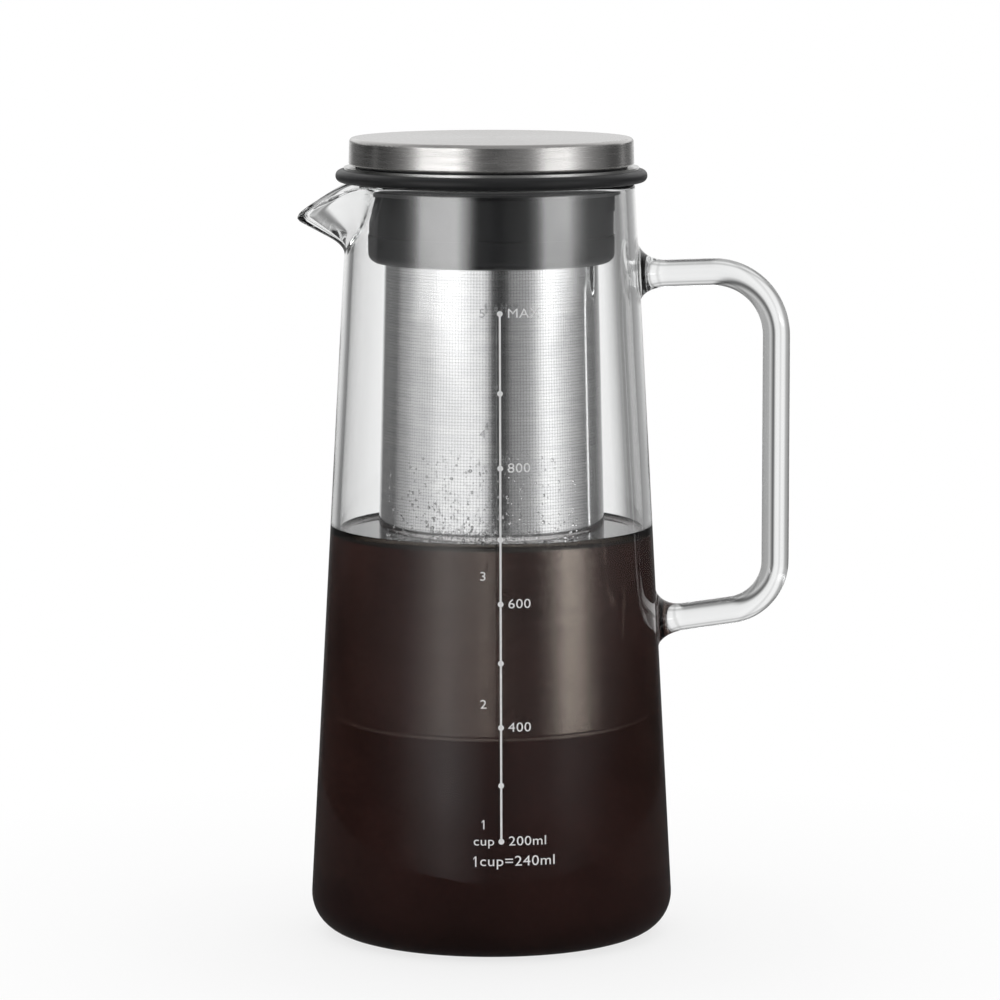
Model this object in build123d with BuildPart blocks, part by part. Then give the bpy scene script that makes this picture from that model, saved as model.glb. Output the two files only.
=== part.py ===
from build123d import *
from math import acos, atan2, cos, degrees, radians, sin, tan
import os

# Cold brew coffee maker: a blown glass carafe with a pulled beak and a rod handle, a steel
# filter that hangs in its neck on a silicone collar, and a steel lid that plugs the filter.
# Millimetres. +Z is up, the origin is on the carafe's axis at the underside of its base,
# the beak points along -X and the handle along +X.

# Carafe
carafe_height = 207.4  # table to the top of the rim
foot_radius = 50.5  # outside of the wall, run down to the table
mouth_radius = 39.3  # outside of the wall at the rim
glass_wall = 2.5
glass_floor = 3.2
base_corner = 10.5  # outside radius between the base and the wall
rim_round = 1.1  # fire-polished edges of the rim

# Beak, pulled out of the rim
beak_root_drop = 18.1  # rim down to the foot of the beak
beak_rise = 29.3  # angle of the beak's keel above level
beak_first = 0.05  # height above the beak's foot of the first drawn-out section
beak_sections = 5
beak_over = 1.0  # sections run this far above the rim, to be trimmed by the lip
beak_wall = 2.2  # glass thickness square to the keel
beak_tip = 4.0  # outside radius of the beak in plan
flank_foot = 15.0  # radius of the hollow flanks at the foot of the beak
flank_rim = 46.0  # radius of the hollow flanks at the rim
lip_slope = 30.0  # angle at which the lip runs down to the tip
lip_start = 36.3  # distance from the axis where the lip starts down
lip_round = 14.0

# Handle, a bent glass rod welded to the wall
rod_radius = 3.75
grip_gap = 28.2  # foot radius to the middle of the rod
upper_weld_drop = 25.5  # rim down to the upper weld
upper_arm_rise = 1.4  # angle of the upper arm above level
upper_bend = 17.8
lower_weld_height = 86.6
lower_arm_rise = 7.1
lower_bend = 13.7
weld_radius = 7.6  # flared end of the rod at the wall
weld_reach = 8.0  # length of the flare along the arm
weld_sink = 2.0  # how far a flare's profile starts inside the wall, before it is trimmed

# Silicone collar
rim_gap = 0.3  # flange to the glass rim
flange_thickness = 3.35
flange_overhang = 3.4  # past the outside of the mouth
flange_round = 1.6
spigot_gap = 0.6  # register step to the inside of the mouth
spigot_depth = 3.1
spigot_lead = 1.0
pour_gap = 3.0  # inside of the mouth to the sleeve
collar_depth = 25.35  # flange top to the bottom of the sleeve
collar_wall = 2.55  # sleeve outside to the steel tube
collar_foot_round = 2.8
band_top_drop = 11.0  # flange top to the shallow band's upper edge
band_height = 6.7
band_depth = 0.3

# Steel filter
sheet = 0.7  # spun and pressed parts
fit_gap = 0.05  # between pieces that are pressed or rolled together
steel_flange_inset = 2.3  # steel flange's edge inside the silicone one's
tube_bend = 1.3
neck_in = 1.2  # how far the tube's lower end is necked in to hold the screen
neck_top_drop = 15.0  # flange top down to where the tube starts to neck in
neck_run = 2.0
tube_end_rise = 0.5  # tube's end above the collar's
screen_sheet = 0.4
screen_overlap = 7.0  # screen inside the necked end of the tube
screen_flare = 3.05  # growth of the screen's radius from top to bottom
filter_drop = 149.4  # rim down to the underside of the filter
seam_width = 5.0  # lap seam along the screen
seam_step = 0.3
seam_angle = 62.0  # where the lap starts, from +X
base_wall = 7.0  # height of the pressed cup inside the screen
base_roll = 0.5  # how far the cup's rolled edge stands out past the screen
base_roll_height = 1.4
dish_inset = 5.2  # cup's wall to the foot of the dish stamped in its floor
dish_height = 1.5
dish_run = 2.0

# Lid
lid_radius = 39.1  # at the cap's lower edge
lid_draft = 0.2
lid_height = 7.4  # hem to the top
lid_sheet = 0.8
lid_corner = 1.2
hem_gap = 0.5  # plug's shoulder to the hem
hem_width = 1.0  # cap's edge turned in under the plug
seat_gap = 0.1  # plug's shoulder to the steel flange
plug_gap = 0.6  # plug to the tube's bore
plug_depth = 12.4  # shoulder down to the bottom of the plug
plug_wall = 2.0
plug_chamfer = 1.0
rib_count = 6
rib_thickness = 1.6
rib_drop = 0.5  # ribs below the rim of the plug
seal_groove_drop = 4.6  # shoulder down to the seal's groove
seal_height = 3.8
seal_groove_depth = 1.6
seal_gap = 0.25  # seal's lips to the tube's bore
seal_lip = 0.9  # height of each lip
seal_play = 0.1  # seal in its groove

# Worked out from the sizes above
taper = (foot_radius - mouth_radius) / carafe_height
beak_root = carafe_height - beak_root_drop
keel_run = 1 / tan(radians(beak_rise))
inner_root = beak_root + (beak_wall / sin(radians(beak_rise)) - glass_wall) / keel_run
upper_weld_height = carafe_height - upper_weld_drop
grip_x = foot_radius + grip_gap
mouth_bore = mouth_radius - glass_wall
flange_bottom = carafe_height + rim_gap
flange_top = flange_bottom + flange_thickness
flange_radius = mouth_radius + flange_overhang
spigot_radius = mouth_bore - spigot_gap
spigot_foot = flange_bottom - spigot_depth
sleeve_radius = mouth_bore - pour_gap
band_top = flange_top - band_top_drop
band_foot = band_top - band_height
collar_foot = flange_top - collar_depth
tube_radius = sleeve_radius - collar_wall
tube_bore = tube_radius - sheet
neck_radius = tube_radius - neck_in
neck_bore = neck_radius - sheet
neck_top = flange_top - neck_top_drop
neck_foot = neck_top - neck_run
tube_end = collar_foot + tube_end_rise
steel_underside = flange_top + fit_gap
steel_top = steel_underside + sheet
steel_radius = flange_radius - steel_flange_inset
filter_foot = carafe_height - filter_drop
screen_top = tube_end + screen_overlap
screen_foot = filter_foot + base_roll_height + fit_gap
screen_slope = screen_flare / (tube_end - screen_foot)
shoulder = steel_top + seat_gap
hem = shoulder + hem_gap
lid_top = hem + lid_height
cap_bore = lid_radius - lid_draft - lid_sheet
hem_bore = lid_radius - lid_sheet - hem_width
step_height = hem + lid_sheet + fit_gap
plug_rim = lid_top - lid_sheet - fit_gap
plug_radius = tube_bore - plug_gap
plug_foot = shoulder - plug_depth
groove_radius = plug_radius - seal_groove_depth
groove_top = shoulder - seal_groove_drop
groove_foot = groove_top - seal_height
cup_radius = groove_radius - plug_wall


def wall_radius(height):
    """Outside radius of the carafe's tapered wall."""
    return foot_radius - taper * height


def flank_radius(height):
    """Radius of the beak's hollow flanks, which open out towards the rim."""
    share = (height - beak_root) / beak_root_drop
    return flank_foot + (flank_rim - flank_foot) * share


def neck_section(height, radius, reach, tip, flank):
    """Plan outline of the neck: a circle drawn out on -X to a rounded tip by hollow flanks."""
    tip_x = radius + reach - tip
    to_flank = radius + flank
    share = to_flank**2 + tip_x**2 - (tip + flank) ** 2
    root_angle = acos(share / (2 * to_flank * tip_x))
    flank_x, flank_y = to_flank * cos(root_angle), to_flank * sin(root_angle)
    tip_angle = atan2(flank_y, flank_x - tip_x)
    tip_end = (tip_x + tip * cos(tip_angle), tip * sin(tip_angle))
    middle = (root_angle + tip_angle) / 2
    flank_mid = (flank_x - flank * cos(middle), flank_y - flank * sin(middle))
    root = (radius * cos(root_angle), radius * sin(root_angle))
    with BuildLine(Plane.XY.offset(height)) as outline:
        ThreePointArc(
            (-tip_end[0], -tip_end[1]), (-radius - reach, 0), (-tip_end[0], tip_end[1])
        )
        ThreePointArc(
            (-tip_end[0], tip_end[1]), (-flank_mid[0], flank_mid[1]), (-root[0], root[1])
        )
        ThreePointArc((-root[0], root[1]), (radius, 0), (-root[0], -root[1]))
        ThreePointArc(
            (-root[0], -root[1]), (-flank_mid[0], -flank_mid[1]), (-tip_end[0], -tip_end[1])
        )
    return Face(outline.wires()[0])


def neck_sections(root, inset, tip):
    """Evenly spaced neck outlines for a loft, from the foot of the beak to above the rim."""
    step = (carafe_height + beak_over - root - beak_first) / (beak_sections - 1)
    rises = [beak_first + step * number for number in range(beak_sections)]
    return [
        neck_section(
            root + rise,
            wall_radius(root + rise) - inset,
            keel_run * rise,
            tip,
            flank_radius(root + rise) + inset,
        )
        for rise in rises
    ]


def wall_profile(bottom, top, inset, corner):
    """Half section of the carafe's body, as far in as the inset."""
    with BuildSketch(Plane.XZ) as profile:
        with BuildLine():
            Polyline(
                (0, bottom),
                (wall_radius(bottom) - inset, bottom),
                (wall_radius(top) - inset, top),
                (0, top),
                close=True,
            )
        foot = make_face().vertices().sort_by(Axis.Y)[:2].sort_by(Axis.X)[-1]
        fillet(foot, radius=corner)
    return profile.sketch


def lip_height(x):
    """Height of the lip's two flats at a place along X."""
    return carafe_height - max(0, -x - lip_start) * tan(radians(lip_slope))


def on_lip(edge):
    """True for the edges that run round the rim and down the beak."""
    middle = edge @ 0.5
    level = abs(middle.Z - lip_height(middle.X)) < rim_round
    return level and edge.geom_type != GeomType.LINE


def arm_plane(weld_height, rise):
    """Plane through a weld's middle, with its X along the handle's arm."""
    slope = radians(rise)
    return Plane(
        origin=(wall_radius(weld_height), 0, weld_height),
        x_dir=(cos(slope), 0, sin(slope)),
        z_dir=(0, -1, 0),
    )


def arm_height(weld_height, rise, x):
    """Height of an arm's middle line at a place along X."""
    return weld_height + (x - wall_radius(weld_height)) * tan(radians(rise))


def screen_radius(height):
    """Outside radius of the screen, which widens downwards."""
    return neck_bore - fit_gap + screen_slope * (tube_end - height)


def cup_wall(height):
    """Outside radius of the pressed cup's wall, which follows the inside of the screen."""
    return screen_radius(height) - screen_sheet - fit_gap


def nearest(sketch, *points):
    """The corners of a sketch in the making that are nearest to some points."""
    return [sketch.vertices().sort_by_distance(point)[0] for point in points]


# The carafe's body: a tapered wall, and a neck drawn out into the beak
with BuildPart() as glass_body:
    revolve(wall_profile(0, beak_root + beak_first, 0, base_corner), axis=Axis.Z)
    loft(neck_sections(beak_root, 0, beak_tip), ruled=True)
    hollow_corner = base_corner - glass_wall
    hollow = wall_profile(glass_floor, inner_root + beak_first, glass_wall, hollow_corner)
    revolve(hollow, axis=Axis.Z, mode=Mode.SUBTRACT)
    channel = neck_sections(inner_root, glass_wall, beak_tip - beak_wall)
    loft(channel, ruled=True, mode=Mode.SUBTRACT)
    far = 2 * foot_radius
    above = 2 * carafe_height
    with BuildSketch(Plane.XZ) as above_lip:
        with BuildLine():
            Polyline(
                (far, carafe_height),
                (-lip_start, carafe_height),
                (-far, lip_height(-far)),
                (-far, above),
                (far, above),
                close=True,
            )
        make_face()
        fillet(nearest(above_lip, (-lip_start, carafe_height)), radius=lip_round)
    extrude(amount=far, both=True, mode=Mode.SUBTRACT)
    fillet(glass_body.edges().filter_by(on_lip), radius=rim_round)

# The handle: a bent rod with a flared weld at each end, trimmed to the wall
with BuildPart() as glass_handle:
    upper_start = wall_radius(upper_weld_height) - weld_sink
    lower_start = wall_radius(lower_weld_height) - weld_sink
    with BuildLine(Plane.XZ) as rod_line:
        FilletPolyline(
            (upper_start, arm_height(upper_weld_height, upper_arm_rise, upper_start)),
            (grip_x, arm_height(upper_weld_height, upper_arm_rise, grip_x)),
            (grip_x, arm_height(lower_weld_height, lower_arm_rise, grip_x)),
            (lower_start, arm_height(lower_weld_height, lower_arm_rise, lower_start)),
            radius=[upper_bend, lower_bend],
        )
    with BuildSketch(Plane(rod_line.line @ 0, z_dir=rod_line.line % 0)):
        Circle(rod_radius)
    sweep(path=rod_line.line)
    for weld in (
        arm_plane(upper_weld_height, upper_arm_rise),
        arm_plane(lower_weld_height, lower_arm_rise),
    ):
        with BuildSketch(weld):
            with BuildLine():
                flare = TangentArc(
                    (weld_reach, rod_radius), (-weld_sink, weld_radius), tangent=(-1, 0)
                )
                Polyline(flare @ 1, (-weld_sink, 0), (weld_reach, 0), flare @ 0)
            make_face()
        revolve(axis=Axis(weld.origin, weld.x_dir))
    wall = wall_profile(0, carafe_height, 0, base_corner)
    revolve(wall, axis=Axis.Z, mode=Mode.SUBTRACT)

# The silicone collar: a flange over the rim, a register in the mouth and a sleeve below it
with BuildPart() as seal_collar:
    with BuildSketch(Plane.XZ) as collar_half:
        with BuildLine():
            Polyline(
                (tube_radius + fit_gap, flange_top),
                (flange_radius, flange_top),
                (flange_radius, flange_bottom),
                (spigot_radius, flange_bottom),
                (spigot_radius, spigot_foot),
                (sleeve_radius, spigot_foot),
                (sleeve_radius, band_top),
                (sleeve_radius - band_depth, band_top),
                (sleeve_radius - band_depth, band_foot),
                (sleeve_radius, band_foot),
                (sleeve_radius, collar_foot),
                (neck_radius + fit_gap, collar_foot),
                (neck_radius + fit_gap, neck_foot),
                (tube_radius + fit_gap, neck_top),
                close=True,
            )
        make_face()
        flange_edge = nearest(
            collar_half, (flange_radius, flange_top), (flange_radius, flange_bottom)
        )
        fillet(flange_edge, radius=flange_round)
        fillet(nearest(collar_half, (sleeve_radius, collar_foot)), radius=collar_foot_round)
        chamfer(nearest(collar_half, (spigot_radius, spigot_foot)), length=spigot_lead)
        chamfer(
            nearest(collar_half, (tube_radius + fit_gap, flange_top)),
            length=tube_bend - sheet,
        )
    revolve(axis=Axis.Z)

# The filter's spun rim: a flange on the collar and a tube that is necked in on the screen
with BuildPart() as filter_rim:
    with BuildSketch(Plane.XZ) as rim_half:
        with BuildLine():
            Polyline(
                (tube_bore, steel_top),
                (steel_radius, steel_top),
                (steel_radius, steel_underside),
                (tube_radius, steel_underside),
                (tube_radius, neck_top),
                (neck_radius, neck_foot),
                (neck_radius, tube_end),
                (neck_bore, tube_end),
                (neck_bore, neck_foot),
                (tube_bore, neck_top),
                close=True,
            )
        make_face()
        fillet(nearest(rim_half, (tube_bore, steel_top)), radius=tube_bend)
        fillet(nearest(rim_half, (tube_radius, steel_underside)), radius=tube_bend - sheet)
    revolve(axis=Axis.Z)

# The screen: a rolled sheet, lapped and welded along one line
with BuildPart() as filter_screen:
    with BuildSketch(Plane.XZ):
        with BuildLine():
            Polyline(
                (screen_radius(screen_top), screen_top),
                (screen_radius(screen_foot), screen_foot),
                (screen_radius(screen_foot) - screen_sheet, screen_foot),
                (screen_radius(screen_top) - screen_sheet, screen_top),
                close=True,
            )
        make_face()
    revolve(axis=Axis.Z)
    seam_turn = radians(seam_angle)
    seam_plane = Plane(
        origin=(0, 0, 0),
        x_dir=(cos(seam_turn), sin(seam_turn), 0),
        z_dir=(sin(seam_turn), -cos(seam_turn), 0),
    )
    seam_foot = screen_foot + base_wall + seam_step
    with BuildSketch(seam_plane):
        with BuildLine():
            Polyline(
                (screen_radius(screen_top) - screen_sheet / 2, screen_top),
                (screen_radius(seam_foot) - screen_sheet / 2, seam_foot),
                (screen_radius(seam_foot) - screen_sheet - seam_step, seam_foot),
                (screen_radius(screen_top) - screen_sheet - seam_step, screen_top),
                close=True,
            )
        make_face()
    seam_span = degrees(seam_width / screen_radius(screen_foot))
    revolve(axis=Axis.Z, revolution_arc=seam_span)

# The filter's foot: a pressed cup with a rolled edge under the screen and a dished floor
with BuildPart() as filter_base:
    roll_radius = screen_radius(screen_foot) + base_roll
    roll_top = filter_foot + base_roll_height
    cup_top = screen_foot + base_wall
    dish_foot = cup_wall(roll_top) - sheet - dish_inset
    dish_edge = dish_foot - dish_run
    with BuildSketch(Plane.XZ) as cup_half:
        with BuildLine():
            Polyline(
                (roll_radius, filter_foot),
                (roll_radius, roll_top),
                (cup_wall(roll_top), roll_top),
                (cup_wall(cup_top), cup_top),
                (cup_wall(cup_top) - sheet, cup_top),
                (cup_wall(roll_top) - sheet, filter_foot + sheet),
                (dish_foot, filter_foot + sheet),
                (dish_edge, filter_foot + sheet + dish_height),
                (0, filter_foot + sheet + dish_height),
                (0, filter_foot + dish_height),
                (dish_edge, filter_foot + dish_height),
                (dish_foot, filter_foot),
                close=True,
            )
        make_face()
        roll_edge = nearest(cup_half, (roll_radius, filter_foot), (roll_radius, roll_top))
        chamfer(roll_edge, length=base_roll_height / 4)
    revolve(axis=Axis.Z)

# The lid's cap: a drawn cup with its edge turned in under the plug
with BuildPart() as lid_cap:
    with BuildSketch(Plane.XZ) as cap_half:
        with BuildLine():
            Polyline(
                (0, lid_top),
                (lid_radius - lid_draft, lid_top),
                (lid_radius, hem),
                (hem_bore, hem),
                (hem_bore, hem + lid_sheet),
                (lid_radius - lid_sheet, hem + lid_sheet),
                (cap_bore, lid_top - lid_sheet),
                (0, lid_top - lid_sheet),
                close=True,
            )
        make_face()
        fillet(nearest(cap_half, (lid_radius - lid_draft, lid_top)), radius=lid_corner)
        chamfer(nearest(cap_half, (lid_radius, hem)), length=lid_sheet / 2)
    revolve(axis=Axis.Z)

# The room inside the plug: a round cup, and a tray around it under the cap
with BuildSketch(Plane.XZ) as plug_room:
    tray_radius = cap_bore - fit_gap - plug_wall
    with BuildLine():
        Polyline(
            (0, plug_rim),
            (tray_radius, plug_rim),
            (tray_radius, shoulder + plug_wall),
            (cup_radius, shoulder + plug_wall),
            (cup_radius, plug_foot + plug_wall),
            (0, plug_foot + plug_wall),
            close=True,
        )
    make_face()

# Ribs that cross the plug from its middle to its rim
with BuildPart() as plug_ribs:
    with BuildSketch(Plane.XY.offset(plug_foot + plug_wall / 2)):
        with PolarLocations(0, rib_count):
            Rectangle(lid_radius, rib_thickness, align=(Align.MIN, Align.CENTER))
    extrude(amount=plug_rim - rib_drop - plug_foot - plug_wall / 2)
    revolve(plug_room.sketch, axis=Axis.Z, mode=Mode.INTERSECT)

# The lid's plug: a moulded cup that the cap is closed over, with a groove for its seal
with BuildPart() as lid_plug:
    with BuildSketch(Plane.XZ) as plug_half:
        with BuildLine():
            Polyline(
                (0, plug_rim),
                (cap_bore - fit_gap, plug_rim),
                (cap_bore - fit_gap, step_height),
                (hem_bore - fit_gap, step_height),
                (hem_bore - fit_gap, shoulder),
                (plug_radius, shoulder),
                (plug_radius, groove_top),
                (groove_radius, groove_top),
                (groove_radius, groove_foot),
                (plug_radius, groove_foot),
                (plug_radius, plug_foot),
                (0, plug_foot),
                close=True,
            )
        make_face()
        chamfer(nearest(plug_half, (plug_radius, plug_foot)), length=plug_chamfer)
    revolve(axis=Axis.Z)
    revolve(plug_room.sketch, axis=Axis.Z, mode=Mode.SUBTRACT)
    add(plug_ribs.part)

# The lid's seal: a silicone ring in the plug's groove with two lips against the tube
with BuildPart() as lid_seal:
    seal_top = groove_top - seal_play
    seal_foot = groove_foot + seal_play
    lip_tip = tube_bore - seal_gap
    with BuildSketch(Plane.XZ):
        with BuildLine():
            Polyline(
                (groove_radius + fit_gap, seal_top),
                (plug_radius, seal_top),
                (lip_tip, seal_top - seal_lip / 2),
                (plug_radius, seal_top - seal_lip),
                (plug_radius, seal_foot + seal_lip),
                (lip_tip, seal_foot + seal_lip / 2),
                (plug_radius, seal_foot),
                (groove_radius + fit_gap, seal_foot),
                close=True,
            )
        make_face()
    revolve(axis=Axis.Z)

os.makedirs("parts", exist_ok=True)
glass_body.part.label = "glass_body"
export_step(glass_body.part, "parts/glass_body.step")
glass_handle.part.label = "glass_handle"
export_step(glass_handle.part, "parts/glass_handle.step")
seal_collar.part.label = "seal_collar"
export_step(seal_collar.part, "parts/seal_collar.step")
filter_rim.part.label = "filter_rim"
export_step(filter_rim.part, "parts/filter_rim.step")
filter_screen.part.label = "filter_screen"
export_step(filter_screen.part, "parts/filter_screen.step")
filter_base.part.label = "filter_base"
export_step(filter_base.part, "parts/filter_base.step")
lid_cap.part.label = "lid_cap"
export_step(lid_cap.part, "parts/lid_cap.step")
lid_plug.part.label = "lid_plug"
export_step(lid_plug.part, "parts/lid_plug.step")
lid_seal.part.label = "lid_seal"
export_step(lid_seal.part, "parts/lid_seal.step")
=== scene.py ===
"""Cold brew coffee maker: the looks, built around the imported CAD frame.

Sizes in this script are millimetres and degrees, in the CAD's frame: +Z up, the carafe's axis
on Z, the beak along -X, the handle along +X. mesh_piece() turns them into metres.
"""
import random
from math import acos, atan, atan2, cos, degrees, pi, radians, sin, sqrt, tan

import bmesh
import bpy
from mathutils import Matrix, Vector


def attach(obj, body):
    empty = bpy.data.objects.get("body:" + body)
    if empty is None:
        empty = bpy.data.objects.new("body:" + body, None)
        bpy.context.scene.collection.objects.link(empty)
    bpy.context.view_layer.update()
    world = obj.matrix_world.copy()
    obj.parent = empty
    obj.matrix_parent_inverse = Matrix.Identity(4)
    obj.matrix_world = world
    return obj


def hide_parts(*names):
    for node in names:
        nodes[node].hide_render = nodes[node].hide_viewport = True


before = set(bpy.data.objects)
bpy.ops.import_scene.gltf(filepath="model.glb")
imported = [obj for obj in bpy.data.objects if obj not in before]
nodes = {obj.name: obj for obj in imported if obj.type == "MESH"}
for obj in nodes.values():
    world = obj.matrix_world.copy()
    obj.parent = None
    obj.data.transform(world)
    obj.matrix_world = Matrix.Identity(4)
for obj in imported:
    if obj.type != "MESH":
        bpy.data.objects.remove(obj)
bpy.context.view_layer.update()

MM = 0.001

# Camera, as the photograph was taken
CAMERA_TURN = 6.0  # round the axis, from square to the handle
CAMERA_BACK = 1450.0
CAMERA_UP = 299.2
AIM_RIGHT = 2.35  # of the axis, as the camera sees it
AIM_UP = 119.8
CAMERA_LENS = 190.7

# Carafe
HEIGHT = 207.4
FOOT_RADIUS = 50.5
MOUTH_RADIUS = 39.3
WALL = 2.5
FLOOR = 3.2
BASE_CORNER = 10.5
TAPER = (FOOT_RADIUS - MOUTH_RADIUS) / HEIGHT
RIM_ROUND = 1.2  # fire-polished rim, from the end of the walls to its crest

# Beak
BEAK_ROOT = 190.4
BEAK_RISE = 27.6
BEAK_WALL = 2.2
BEAK_TIP = 4.0
FLANK_FOOT = 15.0
FLANK_RIM = 46.0
INNER_FLANK = 0.62  # share of the outer flanks' radius: the glass is thicker at their roots
KEEL_EASE = 2.5  # the keel bends out of the wall over this height, up and down
LIP_START = 39.4
LIP_SLOPE = 33.0
LIP_ROUND = 14.0
KEEL_RUN = 1 / tan(radians(BEAK_RISE))
INNER_ROOT = BEAK_ROOT + (BEAK_WALL / sin(radians(BEAK_RISE)) - WALL) / KEEL_RUN

# Handle
ROD_RADIUS = 3.75
GRIP_X = 79.2
UPPER_WELD, UPPER_RISE, UPPER_BEND = 181.9, 1.4, 17.8
LOWER_WELD, LOWER_RISE, LOWER_BEND = 85.6, 7.1, 13.7
SKIRT_WIDE = 4.2  # how far a weld's skirt spreads past the rod
SKIRT_RISE = 0.55  # and by what share further on its upper side
SKIRT_LONG = 7.5  # and how far it reaches along the arm

# Coffee
COFFEE_LEVEL = 112.0
COFFEE_BITE = 0.15  # into the glass, so that no air lies between them
MENISCUS_RISE = 1.1
MENISCUS_WIDE = 3.0

# Printed scale: millilitres against height, cups against height
SCALE_MARKS = {
    200: 33.3, 300: 48.4, 400: 64.0, 500: 81.3, 600: 97.2,
    700: 114.5, 800: 133.6, 900: 153.6, 1000: 174.9,
}
CUP_MARKS = {"1": 37.9, "2": 70.2, "3": 104.6, "4": 142.7, "5": 174.9, "cup": SCALE_MARKS[200]}
SCALE_TURN = -92.9  # the scale's line, from +X
PRINT_THICK = 0.05
PRINT_CLEAR = 0.015  # between the wall and the print
LINE_WIDTH = 0.56
DOT_RADIUS = 0.78


# ---------------------------------------------------------------- camera


def make_camera():
    """The camera at the photograph's place, aimed at the middle of its frame."""
    turn = radians(CAMERA_TURN)
    right = Vector((cos(turn), -sin(turn), 0))
    back = Vector((-sin(turn), -cos(turn), 0))
    place = (back * CAMERA_BACK + Vector((0, 0, CAMERA_UP))) * MM
    aim = (right * AIM_RIGHT + Vector((0, 0, AIM_UP))) * MM
    camera = bpy.data.objects.new("camera", bpy.data.cameras.new("camera"))
    bpy.context.scene.collection.objects.link(camera)
    camera.data.lens = CAMERA_LENS
    camera.location = place
    camera.rotation_euler = (aim - place).to_track_quat("-Z", "Y").to_euler()
    bpy.context.scene.camera = camera


make_camera()


# ---------------------------------------------------------------- shader nodes

NOISE_RANGE = (0.3, 0.7)  # where nearly all of a noise texture's values lie
COLOUR_MIX = (0, 6, 7)  # a Mix node's inputs for colours: share, first and second
COLOUR_MIXED = 2  # and its output


def grey(tone):
    """An opaque grey."""
    return (tone, tone, tone, 1)


WHITE = grey(1)


class Nodes:
    """A small helper that adds shader nodes and joins them."""

    def __init__(self, tree):
        self.tree = tree
        tree.nodes.clear()

    def put(self, socket, value):
        """Give an input a number or a colour, or join it to an output or a node's first one."""
        if isinstance(value, bpy.types.Node):
            value = value.outputs[0]
        if isinstance(value, bpy.types.NodeSocket):
            self.tree.links.new(value, socket)
        else:
            socket.default_value = value

    def add(self, kind, **values):
        """A node. Each value is one of its settings, or goes to its input of that name."""
        node = self.tree.nodes.new("ShaderNode" + kind)
        for name, value in values.items():
            if name in node.bl_rna.properties:
                setattr(node, name, value)
                continue
            title = name.replace("_", " ")
            self.put(next(s for s in node.inputs if s.name == title and s.enabled), value)
        return node

    def fill(self, node, *values):
        """The node, with its inputs given their values in order."""
        for socket, value in zip(node.inputs, values):
            self.put(socket, value)
        return node

    def math(self, operation, *values):
        """A Math node's output."""
        return self.fill(self.add("Math", operation=operation), *values).outputs[0]

    def times(self, first, *others):
        """A product."""
        for other in others:
            first = self.math("MULTIPLY", first, other)
        return first

    def vector(self, operation, *values):
        """A Vector Math node's outputs."""
        return self.fill(self.add("VectorMath", operation=operation), *values).outputs

    def ramp(self, value, stops):
        """A Color Ramp's output. The stops are (place, grey or colour)."""
        node = self.add("ValToRGB")
        elements = node.color_ramp.elements
        while len(elements) < len(stops):
            elements.new(1.0)
        for element, (place, tone) in zip(elements, stops):
            element.position = place
            element.color = grey(tone) if isinstance(tone, float) else tone + (1,)
        self.put(node.inputs["Fac"], value)
        return node.outputs["Color"]

    def span(self, value, low, high, to_low, to_high):
        """A Map Range node's output."""
        return self.add("MapRange", Value=value, From_Min=low, From_Max=high,
                        To_Min=to_low, To_Max=to_high).outputs["Result"]

    def shade(self, noise, dark, light):
        """A colour that goes from one to another with a noise."""
        return self.ramp(noise, list(zip(NOISE_RANGE, (dark, light))))

    def vary(self, noise, low, high):
        """A number that goes from one to another with a noise."""
        return self.span(noise, *NOISE_RANGE, low, high)

    def blend(self, share, first, second):
        """A mix of two colours, each an output or a fixed colour."""
        node = self.add("Mix", data_type="RGBA")
        for index, value in zip(COLOUR_MIX, (share, first, second)):
            self.put(node.inputs[index], value)
        return node.outputs[COLOUR_MIXED]

    def shaders(self, share, first, second):
        """A mix of two shaders."""
        return self.fill(self.add("MixShader"), share, first, second).outputs[0]

    def split(self, vector):
        """The X, Y and Z of a vector."""
        return self.add("SeparateXYZ", Vector=vector).outputs

    def join(self, x, y, z):
        """A vector of three outputs or numbers."""
        return self.add("CombineXYZ", X=x, Y=y, Z=z).outputs[0]

    def place(self):
        """The surface point, in metres."""
        return self.add("TexCoord").outputs["Object"]

    def cylinder(self):
        """The surface point's turn round Z in radians, its distance from Z and its height."""
        x, y, z = self.split(self.place())
        out = self.math("SQRT", self.math("ADD", self.times(x, x), self.times(y, y)))
        return self.math("ARCTAN2", y, x), out, z

    def noise(self, place, scale, detail, roughness=0.5):
        """A Noise Texture's value."""
        return self.add("TexNoise", Vector=place, Scale=scale, Detail=detail,
                        Roughness=roughness).outputs[0]

    def bump(self, height, strength, depth, **settings):
        """A Bump node's output. The depth is in metres."""
        return self.add("Bump", Height=height, Strength=strength, Distance=depth,
                        **settings).outputs[0]


def new_material(name):
    """An empty material and its node helper."""
    material = bpy.data.materials.new(name)
    material.use_nodes = True
    return material, Nodes(material.node_tree)


# ---------------------------------------------------------------- light and floor

# The studio round the object: turn from the camera, towards its right, and brightness there.
# LEVEL and ABOVE are what outer surfaces mirror, level with the object and from higher up,
# FEET just under the softboxes and SKY over them. THROUGH is what metal inside the glass mirrors,
# DRINK what metal in the coffee mirrors, BEHIND what the glass shows behind it and ROD what a
# single piece of glass, such as the handle's rod, bends into view.
LEVEL = [
    (-180, 0.50), (-164, 0.50), (-152, 0.14), (-128, 0.05), (-112, 0.05), (-110, 0.40),
    (-106, 0.40), (-104, 0.06), (-90, 0.15), (-76, 0.35), (-66, 0.65), (-58, 1.00), (-28, 1.05),
    (-19, 0.78), (-12, 0.35), (-8, 0.10), (5, 0.08), (12, 0.25), (28, 0.36), (36, 0.60),
    (44, 0.95), (64, 1.00), (74, 0.75), (84, 0.50), (104, 0.30), (116, 0.06), (128, 0.06),
    (131, 0.60), (134, 0.60), (137, 0.08), (152, 0.14), (164, 0.50),
]
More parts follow.
